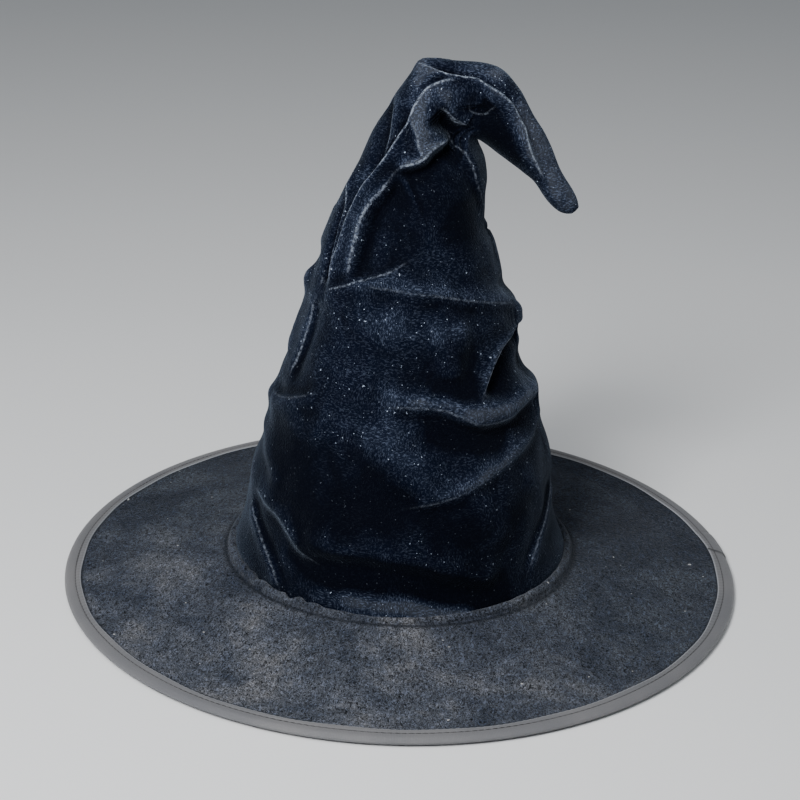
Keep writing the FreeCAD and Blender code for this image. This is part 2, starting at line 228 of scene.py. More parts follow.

# Painted light and shade on the front, with patches of the pile's own tone: pale where light falls on the
# flap, the tip and the roll, and painted shade under the flap and the tip, in the hole and in the hollow
# above the hem.
# Strokes drawn in mm on the middle plane, how far across each reaches, and how much it adds.
PILE_LIGHT_AND_SHADE_STROKES = [
    # Round the flap and its hole, with painted shade in the hole and under the tip.
    ([(20, 283), (10, 283), (5, 275), (5, 265), (8, 255)], 7, 0.5),
    ([(5, 295), (2, 280)], 5, 0.4),
    ([(-2, 246), (14, 254)], 5, 0.3),
    ([(22, 266), (30, 259), (36, 248)], 3, 0.1),
    ([(14, 271), (24, 263)], 3, -0.9),
    ([(44, 268), (52, 258), (56, 248)], 7, -0.5),
    ([(34, 283), (44, 280)], 4, -0.3),
    ([(26, 287), (42, 284)], 5, 0.25),
    # The tip, with painted light on it.
    ([(60, 276), (74, 248), (88, 228)], 9, 0.75),
    ([(30, 299), (46, 294)], 6, 0.35),
    ([(50, 282), (66, 252)], 4, 0.3),
    # The pleats.
    ([(-18, 230), (-28, 212), (-37, 188)], 6, 0.04),
    ([(-10, 262), (-30, 215)], 5, 0.02),
    # The front, from the flap's shadow down to the hem.
    ([(4, 232), (24, 226), (34, 214)], 16, -0.35),
    ([(-8, 208), (22, 202)], 14, -0.2),
    ([(14, 252), (26, 250)], 5, -0.4),
    ([(20, 192), (20, 186)], 14, 0.15),
    ([(-5, 155), (18, 140)], 14, 0.2),
    ([(36, 130), (34, 114)], 8, -0.4),
    ([(56, 128), (54, 114)], 8, -0.5),
    ([(8, 105), (24, 102), (40, 97), (58, 97), (68, 104)], 8, 0.16),
    ([(20, 84), (40, 82), (56, 80)], 8, -0.5),
    ([(64, 74), (52, 58), (32, 44)], 11, 0.35),
    ([(-4, 74), (6, 68)], 13, 0.2),
    ([(-34, 112), (-26, 108)], 18, 0.1),
    ([(79, 20), (77, 4)], 10, 0.25),
    ([(-68, 80), (-58, 50), (-40, 30)], 20, -0.3),
    ([(-10, 40), (40, 20)], 16, -0.25),
    ([(73, 40), (70, 32)], 9, -0.3),
    # The painted shadow in the hollow above the hem, and the pale band below it.
    ([(-54, -1), (-33, -8), (-12, -11), (7, -13), (25, -18), (44, -21), (59, -22)], 8, -1.3),
    ([(-48, -27), (-36, -29)], 7, 0.35),
    ([(-28, -31), (-12, -33), (7, -34), (26, -36), (44, -34)], 7.5, 0.72),
]


def smooth(value):
    """0 below 0, 1 above 1, and an even S between."""
    value = np.clip(value, 0, 1)
    return value * value * (3 - 2 * value)


def bell(value):
    """1 at 0, and falling evenly to 0 on both sides."""
    return np.exp(-value ** 2)


def unit(vectors):
    """The vectors scaled to length 1."""
    return vectors / np.maximum(np.linalg.norm(vectors, axis=-1, keepdims=True), 1e-9)


def through(rows, places):
    """Values on a smooth curve through the rows, at places counted in rows."""
    rows = np.asarray(rows, float)
    places = np.asarray(places, float)
    padded = np.vstack([2 * rows[0] - rows[1], rows, 2 * rows[-1] - rows[-2]])
    first = np.clip(places.astype(int), 0, len(rows) - 2)
    part = (places - first)[:, None]
    a, b, c, d = (padded[first + step] for step in range(4))
    return b + 0.5 * part * (c - a + part * (2 * a - 5 * b + 4 * c - d + part * (3 * (b - c) + d - a)))


def ring_angles(count):
    """Evenly spaced angles once round the hat."""
    return np.arange(count) * 2 * math.pi / count


# ---- meshes

def add_piece(name, points, faces, material):
    """A smooth-shaded object in the scene. Its points are in metres."""
    mesh = bpy.data.meshes.new(name)
    mesh.from_pydata(points, [], faces)
    mesh.shade_smooth()
    mesh.materials.append(material)
    piece = bpy.data.objects.new(name, mesh)
    bpy.context.scene.collection.objects.link(piece)
    return piece


def point_numbers(rows, closed=True):
    """The number of each point of the rows, with the first column once more at the end if they close."""
    count_rows, count_round = rows.shape[:2]
    numbers = np.arange(count_rows * count_round).reshape(count_rows, count_round)
    return np.hstack([numbers, numbers[:, :1]]) if closed else numbers


def cell_corners(grid):
    """The values at the four corners of each cell of a grid, going round the cell."""
    return np.stack([grid[:-1, :-1], grid[:-1, 1:], grid[1:, 1:], grid[1:, :-1]], axis=-1)


def grid_object(name, rows, material, pole=False, closed=True):
    """A smooth-shaded mesh through rows of points in mm. The rows close round the hat unless told not to, and
    with a pole the last row is closed over a point at its middle."""
    numbers = point_numbers(rows, closed)
    points = rows.reshape(-1, 3)
    faces = cell_corners(numbers).reshape(-1, 4).tolist()
    if pole:
        points = np.vstack([points, rows[-1].mean(axis=0)])
        last = numbers[-1]
        faces += [[int(a), int(b), len(points) - 1] for a, b in zip(last[:-1], last[1:])]
    piece = add_piece(name, (points * MM).tolist(), faces, material)
    step = np.linalg.norm(np.diff(rows, axis=0), axis=-1).mean(axis=1)
    along = np.concatenate([[0], np.cumsum(step)])
    width = np.linalg.norm(np.diff(rows[0], axis=0), axis=-1).sum()
    grid_u, grid_v = np.meshgrid(np.linspace(0, 1, numbers.shape[1]) * width * MM, along * MM)
    uv = np.stack([cell_corners(grid_u), cell_corners(grid_v)], axis=-1).reshape(-1, 2)
    if pole:
        uv = np.vstack([uv, np.tile(uv[-1], ((numbers.shape[1] - 1) * 3, 1))])
    layer = piece.data.uv_layers.new(name="cloth")
    layer.data.foreach_set("uv", uv.ravel())
    return piece


def paint(piece, name, values):
    """Stores one number at each point of the mesh, for its material to read."""
    layer = piece.data.attributes.new(name, "FLOAT", "POINT")
    layer.data.foreach_set("value", np.ascontiguousarray(values, dtype=np.float32).ravel())


def ring_rows(section, angles):
    """Rows of points where a section of (radius, height) pairs in mm is turned to each angle."""
    section = np.asarray(section, float)
    turn = angles[None, :]
    radius = section[:, 0:1]
    return np.stack([radius * np.cos(turn), radius * np.sin(turn), section[:, 1:2] + 0 * turn], axis=-1)


def swept_ring(name, section, material, angles, closed=True, change=None):
    """A ring with a section of (radius, height) pairs in mm. change(points, angles) may move its points."""
    rows = ring_rows(section, angles)
    if change is not None:
        rows = change(rows, angles)
    return grid_object(name, rows, material, closed=closed)


def rounded(corners, count, closed=True):
    """Points evenly spaced on a smooth curve through the corners."""
    corners = list(corners) + [corners[0]] if closed else list(corners)
    fine = through(corners, np.linspace(0, len(corners) - 1, 40 * len(corners)))
    way = np.concatenate([[0], np.cumsum(np.linalg.norm(np.diff(fine, axis=0), axis=1))])
    wanted = np.linspace(0, way[-1], count)
    return np.stack([np.interp(wanted, way, fine[:, axis]) for axis in range(fine.shape[1])], axis=-1)


def stitch_row(name, radius, height, material, pitch=3.5, length=2.9):
    """A ring of separate stitches, each a small bead of thread. height(angle) and the rest are in mm."""
    count = int(2 * math.pi * radius / pitch)
    sides = 6
    thread_radius = 0.22
    stations = np.array([-0.5, -0.42, -0.15, 0.15, 0.42, 0.5])
    girth = np.array([0.15, 0.75, 1.0, 1.0, 0.75, 0.15]) * thread_radius
    dip = np.array([-0.25, -0.06, 0.0, 0.0, -0.06, -0.25])
    points, faces = [], []
    for number in range(count):
        middle = 2 * math.pi * (number + 0.5) / count
        base = len(points)
        for station, wide, low in zip(stations, girth, dip):
            angle = middle + station * length / radius
            for side in ring_angles(sides):
                out = radius + wide * math.cos(side) * 1.2
                points.append((
                    out * math.cos(angle) * MM,
                    out * math.sin(angle) * MM,
                    (height(angle) + low + wide * math.sin(side)) * MM,
                ))
        for row in range(len(stations) - 1):
            for side in range(sides):
                after = (side + 1) % sides
                low = base + row * sides
                faces.append((low + side, low + after, low + sides + after, low + sides + side))
        faces.append(tuple(base + side for side in reversed(range(sides))))
        faces.append(tuple(base + (len(stations) - 1) * sides + side for side in range(sides)))
    return add_piece(name, points, faces, material)


# ---- materials

def new_material(name, roughness, sheen=0.0, sheen_roughness=0.5, tint=(1, 1, 1), specular=0.5, metallic=0.0):
    """A material with these constant values on its shader."""
    material = bpy.data.materials.new(name)
    material.use_nodes = True
    shader = material.node_tree.nodes["Principled BSDF"]
    shader.inputs["Roughness"].default_value = roughness
    shader.inputs["Sheen Weight"].default_value = sheen
    shader.inputs["Sheen Roughness"].default_value = sheen_roughness
    shader.inputs["Sheen Tint"].default_value = (*tint, 1)
    shader.inputs["Specular IOR Level"].default_value = specular
    shader.inputs["Metallic"].default_value = metallic
    return material


class Nodes:
    """Short words for adding nodes to one material."""

    def __init__(self, material, kind="Object"):
        self.tree = material.node_tree
        self.shader = self.tree.nodes["Principled BSDF"]
        self.place = self.add("ShaderNodeTexCoord").outputs[kind]

    def feed(self, socket, value):
        """Links the socket to another node's output, or gives it a fixed value."""
        if isinstance(value, bpy.types.NodeSocket):
            self.tree.links.new(value, socket)
        elif socket.type == "RGBA":
            socket.default_value = (*value, 1)
        else:
            socket.default_value = value

    def add(self, kind, inputs=None, **settings):
        """A new node with the settings given, its inputs fed by name."""
        node = self.tree.nodes.new(kind)
        for name, value in settings.items():
            setattr(node, name, value)
        for name, value in (inputs or {}).items():
            self.feed(node.inputs[name], value)
        return node

    def scaled(self, scale, turn=(0, 0, 0)):
        inputs = {"Vector": self.place, "Scale": scale, "Rotation": turn}
        return self.add("ShaderNodeMapping", inputs).outputs["Vector"]

    def painted(self, name):
        return self.add("ShaderNodeAttribute", attribute_name=name).outputs["Fac"]

    def noise(self, vector, scale, detail=2.0, rough=0.5, warp=0.0):
        inputs = {"Vector": vector, "Scale": scale, "Detail": detail, "Roughness": rough, "Distortion": warp}
        return self.add("ShaderNodeTexNoise", inputs).outputs["Fac"]

    def wave(self, vector, scale, warp=0.0, direction="X"):
        inputs = {"Vector": vector, "Scale": scale, "Distortion": warp}
        return self.add("ShaderNodeTexWave", inputs, bands_direction=direction).outputs["Fac"]

    def ramp(self, value, stops):
        """A ramp through stops of (place, grey or colour)."""
        node = self.add("ShaderNodeValToRGB", {"Fac": value})
        elements = node.color_ramp.elements
        while len(elements) < len(stops):
            elements.new(0.5)
        for element, (place, colour) in zip(elements, stops):
            element.position = place
            element.color = (*colour, 1) if isinstance(colour, tuple) else (colour, colour, colour, 1)
        return node.outputs["Color"]

    def mix(self, factor, first, second, blend="MIX"):
        node = self.add("ShaderNodeMix", data_type="RGBA", blend_type=blend)
        sockets = [socket for socket in node.inputs if socket.enabled]
        for socket, value in zip(sockets, (factor, first, second)):
            self.feed(socket, value)
        return next(socket for socket in node.outputs if socket.enabled)

    def maths(self, operation, first, second):
        node = self.add("ShaderNodeMath", operation=operation)
        self.feed(node.inputs[0], first)
        self.feed(node.inputs[1], second)
        return node.outputs["Value"]

    def colour(self, value):
        self.feed(self.shader.inputs["Base Color"], value)

    def roughness(self, value, low, high):
        node = self.add("ShaderNodeMapRange", {"Value": value, "To Min": low, "To Max": high})
        self.feed(self.shader.inputs["Roughness"], node.outputs["Result"])

    def bump(self, height, depth):
        """Bumps of a depth in metres."""
        node = self.add("ShaderNodeBump", {"Height": height, "Distance": depth, "Strength": 1.0})
        self.feed(self.shader.inputs["Normal"], node.outputs["Normal"])


def crown_velvet_material():
    """Near-black navy pile: open and pale on the raised folds, with painted shade in the hollows between
    them, painted light and shade in patches, pale lit dashes, painted glints and a painted highlight along
    the crests.
    """
    material = new_material(
        "crown_velvet", 0.85, sheen=0.16, sheen_roughness=0.3, tint=(0.6, 0.76, 1.0), specular=0.05,
    )
    nodes = Nodes(material)
    even = nodes.place
    clouds = nodes.noise(even, 34, 4.0, 0.65, 0.6)
    patchy = nodes.maths("MULTIPLY", nodes.maths("SUBTRACT", clouds, 0.5), 1.1)
    # The painted pile value holds painted light and shade as well as the pile's own tone.
    pile = nodes.maths("ADD", nodes.painted("pile"), patchy)
    base = nodes.ramp(pile, [
        (0.1, (0.0003, 0.0009, 0.0036)), (0.5, (0.0011, 0.0028, 0.0092)), (0.8, (0.0074, 0.0114, 0.0235)),
        (1.0, (0.0300, 0.0350, 0.0470)),
    ])
    upright = nodes.noise(nodes.scaled((1, 1, 0.4)), 1500, 2.0, 0.6)
    level = nodes.noise(nodes.scaled((0.4, 0.4, 1)), 1500, 2.0, 0.6)
    turned = nodes.ramp(nodes.noise(even, 55, 1.0, 0.5), [(0.42, 0.0), (0.58, 1.0)])
    dashes = nodes.ramp(nodes.mix(turned, upright, level), [(0.5, 0.0), (0.66, 1.0)])
    amount = nodes.ramp(pile, [(0.15, 0.03), (0.5, 0.3), (0.9, 1.0)])
    lit = nodes.mix(nodes.mix(1.0, dashes, amount, "MULTIPLY"), base, (0.078, 0.097, 0.145))
    spark = nodes.ramp(nodes.noise(even, 860, 0.0, 0.5), [(0.81, 0.0), (0.84, 1.0)])
    glint = nodes.mix(1.0, spark, nodes.ramp(pile, [(0.15, 0.1), (0.5, 1.0)]), "MULTIPLY")
    sparkled = nodes.mix(glint, lit, (0.34, 0.4, 0.5))
    jitter = nodes.maths("MULTIPLY", nodes.maths("SUBTRACT", nodes.noise(even, 520, 2.0, 0.7), 0.5), 0.3)
    # A painted highlight: a thin pale line along each fold's crest, broken here and there.
    beside = nodes.maths("ABSOLUTE", nodes.maths("ADD", nodes.painted("beside"), jitter), 0.0)
    line = nodes.mix(1.0, nodes.painted("crest"), nodes.ramp(beside, [(0.04, 1.0), (0.17, 0.0)]), "MULTIPLY")
    broken = nodes.ramp(nodes.noise(even, 480, 3.0, 0.8), [(0.42, 0.05), (0.62, 1.0)])
    nodes.colour(nodes.mix(nodes.mix(1.0, line, broken, "MULTIPLY"), sparkled, (0.26, 0.3, 0.37)))
    nodes.roughness(clouds, 0.8, 0.95)
    nap = nodes.noise(even, 800, 3.0, 0.7)
    nodes.bump(nap, 0.0006)
    return material


def brim_velvet_material():
    """Charcoal short pile, its nap pushed about in brown-grey and blue-grey clouds, with a little lint,
    painted light at the front, painted shade towards the back and right, and painted shade at the lip's foot
    and by the tape.
    """
    material = new_material(
        "brim_velvet", 0.85, sheen=0.13, sheen_roughness=0.35, tint=(0.85, 0.9, 1.0), specular=0.05,
    )
    nodes = Nodes(material)
    even = nodes.place
    clouds = nodes.noise(even, 17, 5.0, 0.72, 0.35)
    base = nodes.ramp(clouds, [
        (0.35, (0.018, 0.022, 0.031)), (0.5, (0.041, 0.045, 0.055)), (0.65, (0.081, 0.081, 0.085)),
    ])
    # Painted light and shade: lighter at the front, darker towards the back and right, as the light falls.
    painted_light_and_shade = nodes.ramp(nodes.painted("front_light_back_shade"), [
        (0.0, (0.25, 0.31, 0.4)), (0.3, (0.4, 0.46, 0.54)), (0.7, (0.84, 0.87, 0.92)), (1.0, (1.1, 1.1, 1.1)),
    ])
    ground = nodes.mix(1.0, base, painted_light_and_shade, "MULTIPLY")
    curls = nodes.noise(nodes.scaled((1.0, 0.6, 1), (0, 0, 0.2)), 640, 3.0, 0.75, 2.0)
    shaded = nodes.mix(1.0, ground, nodes.ramp(curls, [(0.4, 0.05), (0.6, 2.1)]), "MULTIPLY")
    tip_noise = nodes.noise(nodes.scaled((1.0, 0.55, 1), (0, 0, -0.35)), 700, 2.0, 0.6, 1.6)
    tips = nodes.maths("MULTIPLY", nodes.ramp(tip_noise, [(0.57, 0.0), (0.63, 1.0)]), 0.8)
    toned = nodes.mix(tips, shaded, nodes.mix(1.0, ground, (3.3, 3.4, 3.7), "MULTIPLY"))
    # Painted shade from the foot value: the crease at the lip's foot and the contact shadow by the tape.
    toned = nodes.mix(nodes.maths("MULTIPLY", nodes.painted("foot"), 0.9), toned, (0.006, 0.008, 0.012))
    lint = nodes.ramp(nodes.noise(even, 330, 0.0, 0.5), [(0.875, 0.0), (0.88, 1.0)])
    nodes.colour(nodes.mix(lint, toned, (0.4, 0.4, 0.4)))
    nodes.roughness(clouds, 0.75, 0.95)
    tuft = nodes.noise(even, 420, 2.0, 0.6)
    nodes.bump(nodes.maths("ADD", curls, nodes.maths("MULTIPLY", tuft, 0.8)), 0.0007)
    return material


def satin_material():
    """Smooth grey edge tape with a fine cross rib and slightly uneven colour, a painted highlight along its
    inner edge, and painted shade in its stitch line, under its roll and at the lap's cut end.
    """
    material = new_material("binding_satin", 0.42, sheen=0.12, specular=0.4)
    nodes = Nodes(material, "UV")
    plain = nodes.place
    shade = nodes.noise(plain, 14, 3.0, 0.6)
    base = nodes.ramp(shade, [(0.3, (0.118, 0.122, 0.134)), (0.7, (0.174, 0.172, 0.178))])
    rib = nodes.wave(plain, 420, 0.4)
    cross = nodes.wave(plain, 900, 0.3, "Y")
    weave = nodes.mix(0.5, rib, cross)
    cloth = nodes.mix(0.16, base, weave, "MULTIPLY")
    # A painted highlight along the fold at the tape's inner edge.
    painted_highlight = nodes.mix(nodes.painted("fold"), cloth, (0.33, 0.345, 0.375))
    shaded = nodes.mix(nodes.maths("MULTIPLY", nodes.painted("shade"), 0.6), painted_highlight, (0.03, 0.032, 0.036))
    # Painted shade in the stitch line and a painted shadow at the lap's cut end.
    painted_shade_lines = nodes.ramp(nodes.painted("painted_shade_lines"), [(0.35, 0.0), (0.8, 0.85)])
    nodes.colour(nodes.mix(painted_shade_lines, shaded, (0.022, 0.024, 0.029)))
    nodes.roughness(shade, 0.36, 0.5)
    nodes.bump(weave, 0.00012)
    return material


def woven_material(name, dark, light, pitch, roughness=0.8, sheen=0.1, depth=0.0002):
    """A plain weave whose threads are pitch metres apart."""
    material = new_material(name, roughness, sheen=sheen)
    nodes = Nodes(material)
    plain = nodes.place
    shade = nodes.noise(plain, 40, 3.0, 0.6)
    base = nodes.ramp(shade, [(0.3, dark), (0.7, light)])
    warp = nodes.wave(plain, 1 / pitch, 0.6)
    weft = nodes.wave(plain, 1 / pitch, 0.6, "Y")
    weave = nodes.mix(0.5, warp, weft, "MULTIPLY")
    nodes.colour(nodes.mix(0.5, base, weave, "MULTIPLY"))
    nodes.roughness(shade, roughness - 0.08, roughness + 0.08)
    nodes.bump(weave, depth)
    return material


def thread_material():
    """Dark sewing thread with a fine twist."""
    material = new_material("dark_thread", 0.55, sheen=0.2)
    nodes = Nodes(material)
    twist = nodes.wave(nodes.scaled((1, 1, 1), (0.3, 0.4, 0.7)), 700, 1.5)
    nodes.colour(nodes.ramp(twist, [(0.2, (0.01, 0.01, 0.011)), (0.9, (0.035, 0.034, 0.035))]))
    nodes.bump(twist, 0.0001)
    return material


def fibre_material(name, dark, light, scale):
    """Matted fibres, for the layers inside the hat."""
    material = new_material(name, 0.95, sheen=0.15)
    nodes = Nodes(material)
    fibres = nodes.noise(nodes.scaled((1, 0.4, 1), (0, 0, 0.6)), scale, 4.0, 0.7, 1.0)
    nodes.colour(nodes.ramp(fibres, [(0.35, dark), (0.65, light)]))
    nodes.bump(fibres, 0.0006)
    return material


def wire_material(name, colour):
    """Drawn steel."""
    material = new_material(name, 0.35, metallic=1.0)
    nodes = Nodes(material)
    drawn = nodes.noise(nodes.scaled((1, 1, 6)), 500, 2.0, 0.6)
    nodes.colour(nodes.ramp(drawn, [(0.3, tuple(0.75 * part for part in colour)), (0.7, colour)]))
    nodes.roughness(drawn, 0.28, 0.45)
    nodes.bump(drawn, 0.00005)
    return material


# ---- crown

def eye_position(side=FRONT):
    """The viewer's eye in mm, on the given side of the hat."""
    reach = EYE_DISTANCE * math.cos(EYE_HEIGHT_ANGLE)
    return Vector((side[0] * reach, side[1] * reach, EYE_DISTANCE * math.sin(EYE_HEIGHT_ANGLE)))


def even_places(outline, count):
    """Places along the outline with even steps of cloth between them."""
    fine = np.linspace(0, len(outline) - 1, 3000)
    row = through(outline, fine)
    outer_step = np.linalg.norm(np.diff(row[:, 0:2], axis=0), axis=1)
    inner_step = np.linalg.norm(np.diff(row[:, 2:4], axis=0), axis=1)
    way = np.concatenate([[0], np.cumsum((outer_step + inner_step) / 2)])
    return np.interp(np.linspace(0, 1, count) * way[-1], way, fine)


def crown_rings(places, angles):
    """Rings of the crown's smooth shape at the places given, in mm."""
    row = through(CROWN_OUTLINE, places)[:, None, :]
    middle = (row[..., 0:2] + row[..., 2:4]) / 2
    arm = (row[..., 2:4] - row[..., 0:2]) / 2
    cosine = np.cos(angles)[None, :]
    return np.stack([
        middle[..., 0] + arm[..., 0] * cosine,
        row[..., 4] * np.sin(angles)[None, :],
        middle[..., 1] + arm[..., 1] * cosine,
    ], axis=-1)


def ring_normals(rows):
    """Outward normals of rows that close round the hat."""
    round_step = np.roll(rows, -1, axis=1) - np.roll(rows, 1, axis=1)
    along_step = np.gradient(rows, axis=0)
    return unit(np.cross(round_step, along_step))


def cloth_tree(rows):
    """A tree for throwing points onto the cloth."""
    quads = cell_corners(point_numbers(rows)).reshape(-1, 4)
    return BVHTree.FromPolygons(rows.reshape(-1, 3).tolist(), quads.tolist())


def thrown(path, eye, tree):
    """The path's points and normals on the cloth, about 1.5 mm apart. Paths are drawn on the upright plane
    through the hat's middle that faces the eye."""
    path = np.asarray(path, float)
    length = np.linalg.norm(np.diff(path, axis=0), axis=1).sum()
    found = []
    for across, z in through(path, np.linspace(0, len(path) - 1, max(6, int(length / 1.5)))):
        from_the_side = abs(eye.x) > abs(eye.y)
        ray = Vector((0, across, z) if from_the_side else (across, 0, z)) - eye
        place, normal, _, _ = tree.ray_cast(eye, ray.normalized())
        if place is not None:
            found.append((*place, *normal))
    found = np.array(found)
    return found[:, :3], unit(found[:, 3:])


def fold_height(points, normals, path, path_normals, left, right, crisp):
    """The cloth points near one fold, how far it lifts them in mm, how strong the painted highlight along its
    crest is there, and their distance from the crest in mm, below zero on the right."""
    reach = 4.5 * max(left[1], right[1])
    low, high = path.min(axis=0) - reach, path.max(axis=0) + reach
    near = np.flatnonzero(((points > low) & (points < high)).all(axis=1))
    heading = unit(np.gradient(path, axis=0))
    leftward = unit(np.cross(path_normals, heading))
    way = np.concatenate([[0], np.cumsum(np.linalg.norm(np.diff(path, axis=0), axis=1))])
    gap = points[near][:, None, :] - path[None, :, :]
    distance = np.linalg.norm(gap, axis=-1)
    closest = distance.argmin(axis=1)
    pick = np.arange(len(near))
    away = distance[pick, closest]
    side = (gap[pick, closest] * leftward[closest]).sum(axis=-1)
    ease = min(14.0, way[-1] * 0.2)
    fade = smooth(way[closest] / ease + 0.12) * smooth((way[-1] - way[closest]) / ease + 0.12)
    fade *= smooth((normals[near] * path_normals[closest]).sum(axis=-1) * 2)
    softness = 1 - crisp
    round_top = 1.0 + 4 * softness
    share = 1 / (1 + np.exp(-side / (0.7 + 2.4 * softness)))
    fall = np.sqrt(away ** 2 + round_top ** 2) - round_top
    left_lift = share * left[0] * np.exp(-fall / left[1])
    right_lift = (1 - share) * right[0] * np.exp(-fall / right[1])
    lift = fade * (left_lift + right_lift)
    step = left[0] - right[0]
    # How strong the painted highlight along the crest is at each point.
    strength = fade * crisp ** 1.5 * smooth((CREST_WINDOW - away) / 2) * min(1, abs(step) / 3)
    onto_higher_side = 0.18 * step
    return near, lift, strength, side - onto_higher_side


def wander(points, scale, seed):
    """Smooth noise between about -1 and 1 at each point, with lumps about scale mm across."""
    shift = Vector((seed, seed * 1.7, seed * 0.3))
    return np.array([noise.noise(Vector(point) / scale + shift) for point in points.tolist()])


def in_front(angles):
    """1 at the middle of the front, falling to 0 at the sides."""
    return bell((np.mod(angles, 2 * math.pi) - math.radians(262)) / math.radians(36))


def hem_tuck(points):
    """How far the crown's foot is drawn in at the front, in mm."""
    angles = np.arctan2(points[..., 1], points[..., 0])
    return HEM_TUCK * in_front(angles) * smooth((24 - points[..., 2]) / 10)


def fold_lifts(rows):
    """How far the folds lift each point of the crown's rings in mm, how strong the painted highlight along
    the nearest fold's crest is, and how far the point lies from it in mm."""
    normals = ring_normals(rows).reshape(-1, 3)
    points = rows.reshape(-1, 3)
    tree = cloth_tree(rows)
    lift = np.zeros(len(points))
    crest = np.zeros(len(points))
    beside = np.full(len(points), CREST_WINDOW)
    for side, folds in ((FRONT, FRONT_FOLDS), (BACK, BACK_FOLDS), (RIGHT, RIGHT_FOLDS), (LEFT, LEFT_FOLDS)):
        for path, left, right, crisp in folds:
            line = thrown(path, eye_position(side), tree)
            near, more, strength, gap = fold_height(points, normals, *line, left, right, crisp)
            lift[near] += more
            stronger = strength > crest[near]
            crest[near[stronger]] = strength[stronger]
            beside[near[stronger]] = gap[stronger]
    for place, across, height in KNOTS:
        away = np.linalg.norm(points - np.array(place), axis=1)
        lift += height * bell(away / across)
    lift -= hem_tuck(points)
    above_hem = smooth((points[:, 2] - 26) / 20)
    lift += above_hem * (1.8 * wander(points, 38, 3) + 0.9 * wander(points, 15, 8))
    return [values.reshape(rows.shape[:2]) for values in (lift, crest, beside)]


def lowest_nearby(lift, reach):
    """The lowest lift within a few points each way."""
    low = lift.copy()
    for _ in range(reach):
        low = np.minimum.reduce([low, np.roll(low, 1, axis=1), np.roll(low, -1, axis=1)])
        low[1:] = np.minimum(low[1:], low[:-1])
        low[:-1] = np.minimum(low[:-1], low[1:])
    return low


def moved_out(rows, distance):
    """The rings with each point moved out along the cloth's normal, in mm."""
    return rows + ring_normals(rows) * np.reshape(distance, (*np.shape(distance), 1))


def blurred(rows, times):
    """The rings smoothed along and around, again and again."""
    for _ in range(times):
        rows = (rows + np.roll(rows, 1, axis=1) + np.roll(rows, -1, axis=1)) / 3
        ends = np.concatenate([rows[:1], rows, rows[-1:]])
        rows = (ends[:-2] + ends[1:-1] + ends[2:]) / 3
    return rows


def rise_above(rows, times):
    """How far each point stands out of the smoothed cloth round it, in mm."""
    return ((rows - blurred(rows, times)) * ring_normals(blurred(rows, 3))).sum(axis=-1)


def pile_light_and_shade(rows):
    """How open and pale the pile is at each point, with painted light and shade: 0.4 on plain cloth, more on
    raised folds and painted pale patches, less with the painted shade in hollows, lower down and under the
    strokes.
    """
    tree = cloth_tree(rows)
    eye = eye_position()
    # Paler on raised folds, with painted shade in the hollows between them.
    nap = 0.4 + 0.11 * np.clip(rise_above(rows, 40), -3, 3) + 0.2 * np.clip(rise_above(rows, 8), -1, 1)
    # Painted shade: darker towards the bottom, as the light falls from above.
    nap -= 0.12 * smooth((200 - rows[..., 2]) / 180)
    # Painted light and shade from the strokes.
    for path, across, strength in PILE_LIGHT_AND_SHADE_STROKES:
        stroke = thrown(path, eye, tree)[0][::3]
        away = np.min([np.linalg.norm(rows - place, axis=-1) for place in stroke], axis=0)
        nap += strength * bell(away / across)
    return np.clip(nap, 0, 1)


def make_crown():
    """The velvet of crown and tip in one cloth, and what lies inside it."""
    velvet = crown_velvet_material()
    turn = ring_angles(CROWN_STEPS)
    closer_in_front = turn - 0.4 * np.cos(turn)
    base = crown_rings(even_places(CROWN_OUTLINE, CROWN_STEPS), closer_in_front)
    lift, crest, beside = fold_lifts(base)
    outer = moved_out(base, lift)
    hem_in = moved_out(outer[:6:2], -1.2)[::-1]
    rows = np.concatenate([hem_in, outer])
    crown = grid_object("crown_cloth", rows, velvet, pole=True)
    crest = np.concatenate([crest[:len(hem_in)], crest])
    beside = np.concatenate([beside[:len(hem_in)], beside]) / CREST_WINDOW
    # The pile value holds painted light and shade with the pile's own tone, and crest the painted highlight
    # along fold crests.
    for name, values in (("pile", pile_light_and_shade(rows)), ("crest", crest), ("beside", beside)):
        paint(crown, name, np.append(values.ravel(), values[-1].mean()))
    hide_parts("crown_velvet", "tip_velvet")
    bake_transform(crown)

    velvet_and_gap = 1.7
    web_top = 188
    fill_start = 44
    low = moved_out(base, lowest_nearby(lift, 4) - velvet_and_gap)[2::4, ::4]
    web = fibre_material("interlining_web", (0.02, 0.02, 0.02), (0.05, 0.05, 0.05), 300)
    interlining = grid_object("interlining", low[low[:, :, 2].max(axis=1) < web_top], web)
    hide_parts("crown_interlining")
    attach(interlining, "hat")

    fill = fibre_material("polyester_wadding", (0.6, 0.6, 0.6), (0.9, 0.9, 0.9), 400)
    tip_rows = low[low[:, :, 0].min(axis=1) > fill_start]
    wadding = grid_object("tip_fill", moved_out(tip_rows, -0.7)[:-2], fill, pole=True)
    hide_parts("tip_wadding")
    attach(wadding, "tip")
    make_lining(base, lift)


def make_lining(base, lift):
    """A loose satin lining, a little inside the crown, closed flat at the top."""
    satin = woven_material("lining_satin", (0.012, 0.012, 0.015), (0.03, 0.03, 0.036), 0.0004, 0.4, 0.2)
    lining_top = 214
    around = np.linspace(0, 2 * math.pi, base.shape[1], endpoint=False)
    gather = 1.2 * np.sin(around * 11)[None, :] + 0.8 * np.sin(around * 23 + 1)[None, :]
    looseness = smooth((base[..., 2] - 30) / 60)
    layers_outside = 2.4
    out = lowest_nearby(lift, 4) - layers_outside - looseness * (5 + gather)
    rows = moved_out(base, out)[::3, ::2]
    lining = grid_object("lining", rows[rows[:, :, 2].max(axis=1) < lining_top], satin, pole=True)
    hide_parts("crown_lining")
    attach(lining, "hat")


# ---- brim

